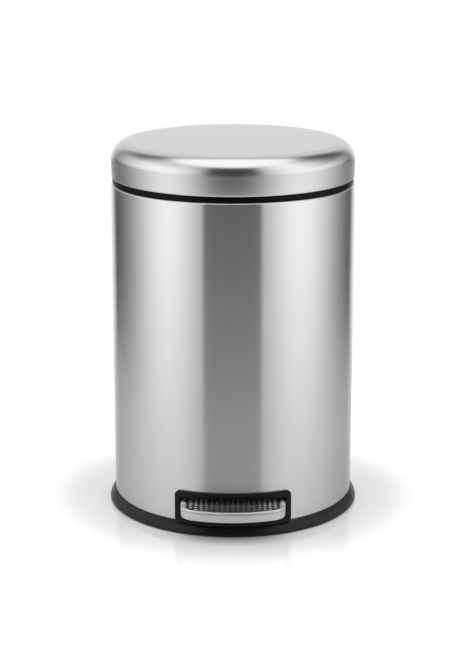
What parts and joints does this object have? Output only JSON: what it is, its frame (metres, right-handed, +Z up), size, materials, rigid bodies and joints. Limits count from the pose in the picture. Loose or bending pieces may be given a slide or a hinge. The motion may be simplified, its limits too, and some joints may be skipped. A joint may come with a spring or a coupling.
{
  "type": "pedal trash can",
  "caption": "Round brushed steel pedal trash can: a foot pedal lifts the hinged lid through a push rod, over a lift-out inner bucket.",
  "frame": {"origin": "on the floor under the middle of the can", "axes": "+Z up, the pedal faces -Y, the lid hinge is at +Y, +X to the right seen from the front"},
  "size_m": [0.2614, 0.295, 0.3824],
  "materials": {
    "brushed_steel": "fine brushing that runs round the can",
    "tray_metal": "satin",
    "black_plastic": "satin moulded",
    "black_rubber": "smooth",
    "plated_steel": "dull zinc plate",
    "natural_nylon": "natural",
    "grey_plastic": "fine moulded grain"
  },
  "bodies": {
    "root": {"foot_rear_right": "black_rubber", "foot_rear_left": "black_rubber", "foot_front_left": "black_rubber", "foot_front_right": "black_rubber", "base_ring": "black_plastic", "deck": "black_plastic", "outer_shell": "brushed_steel", "top_ring": "black_plastic", "pedal_surround": "black_plastic", "pedal_axle": "plated_steel", "pedal_bracket": "plated_steel", "rod_guide_lower": "natural_nylon", "rod_guide_upper": "natural_nylon", "hinge_housing": "black_plastic", "hinge_backplate": "plated_steel", "hinge_pin": "plated_steel", "axle_clip_left": "plated_steel", "bracket_screw_left": "plated_steel", "guide_screw_left": "plated_steel", "hinge_screw_left": "plated_steel", "axle_clip_right": "plated_steel", "bracket_screw_right": "plated_steel", "guide_screw_right": "plated_steel", "hinge_screw_right": "plated_steel"},
    "pedal": {"pedal_tray": "tray_metal", "pedal_pad": "black_rubber", "pedal_lever": "plated_steel", "pedal_bush": "natural_nylon", "lever_pin": "plated_steel", "pedal_rivet_left": "plated_steel", "pedal_rivet_right": "plated_steel"},
    "rod": {"push_rod": "plated_steel"},
    "lid": {"lid_shell": "brushed_steel", "lid_liner": "black_plastic", "lid_bracket": "plated_steel", "crank_pin": "plated_steel", "lid_screw_left": "plated_steel", "lid_screw_right": "plated_steel", "bumper_front": "black_rubber", "bumper_left": "black_rubber", "bumper_right": "black_rubber"},
    "bucket": {"bucket": "grey_plastic"},
    "handle": {"bucket_handle": "plated_steel"}
  },
  "joints": [
    {"name": "lid_hinge", "type": "hinge", "parent": "root", "child": "lid", "pos_m": [0, 0.134, 0.338], "axis": [-1, 0, 0], "range_deg": [0, 80]},
    {"name": "pedal_hinge", "type": "hinge", "parent": "root", "child": "pedal", "pos_m": [0, -0.05, 0.028], "axis": [1, 0, 0], "range_deg": [0, 8.91]},
    {"name": "rod_slide", "type": "slide", "parent": "root", "child": "rod", "axis": [0, 0, 1], "range_m": [0, 0.02576]},
    {"name": "bucket_lift", "type": "slide", "parent": "root", "child": "bucket", "axis": [0, 0, 1], "range_m": [0, 0.018]},
    {"name": "handle_swing", "type": "hinge", "parent": "bucket", "child": "handle", "pos_m": [0, 0, 0.3301], "axis": [-1, 0, 0], "range_deg": [0, 12]}
  ],
  "couplings": [
    {"joint": "pedal_hinge", "follows": "lid_hinge", "ratio": 0.11071},
    {"joint": "rod_slide", "follows": "lid_hinge", "m_per_rad": 0.018415}
  ]
}
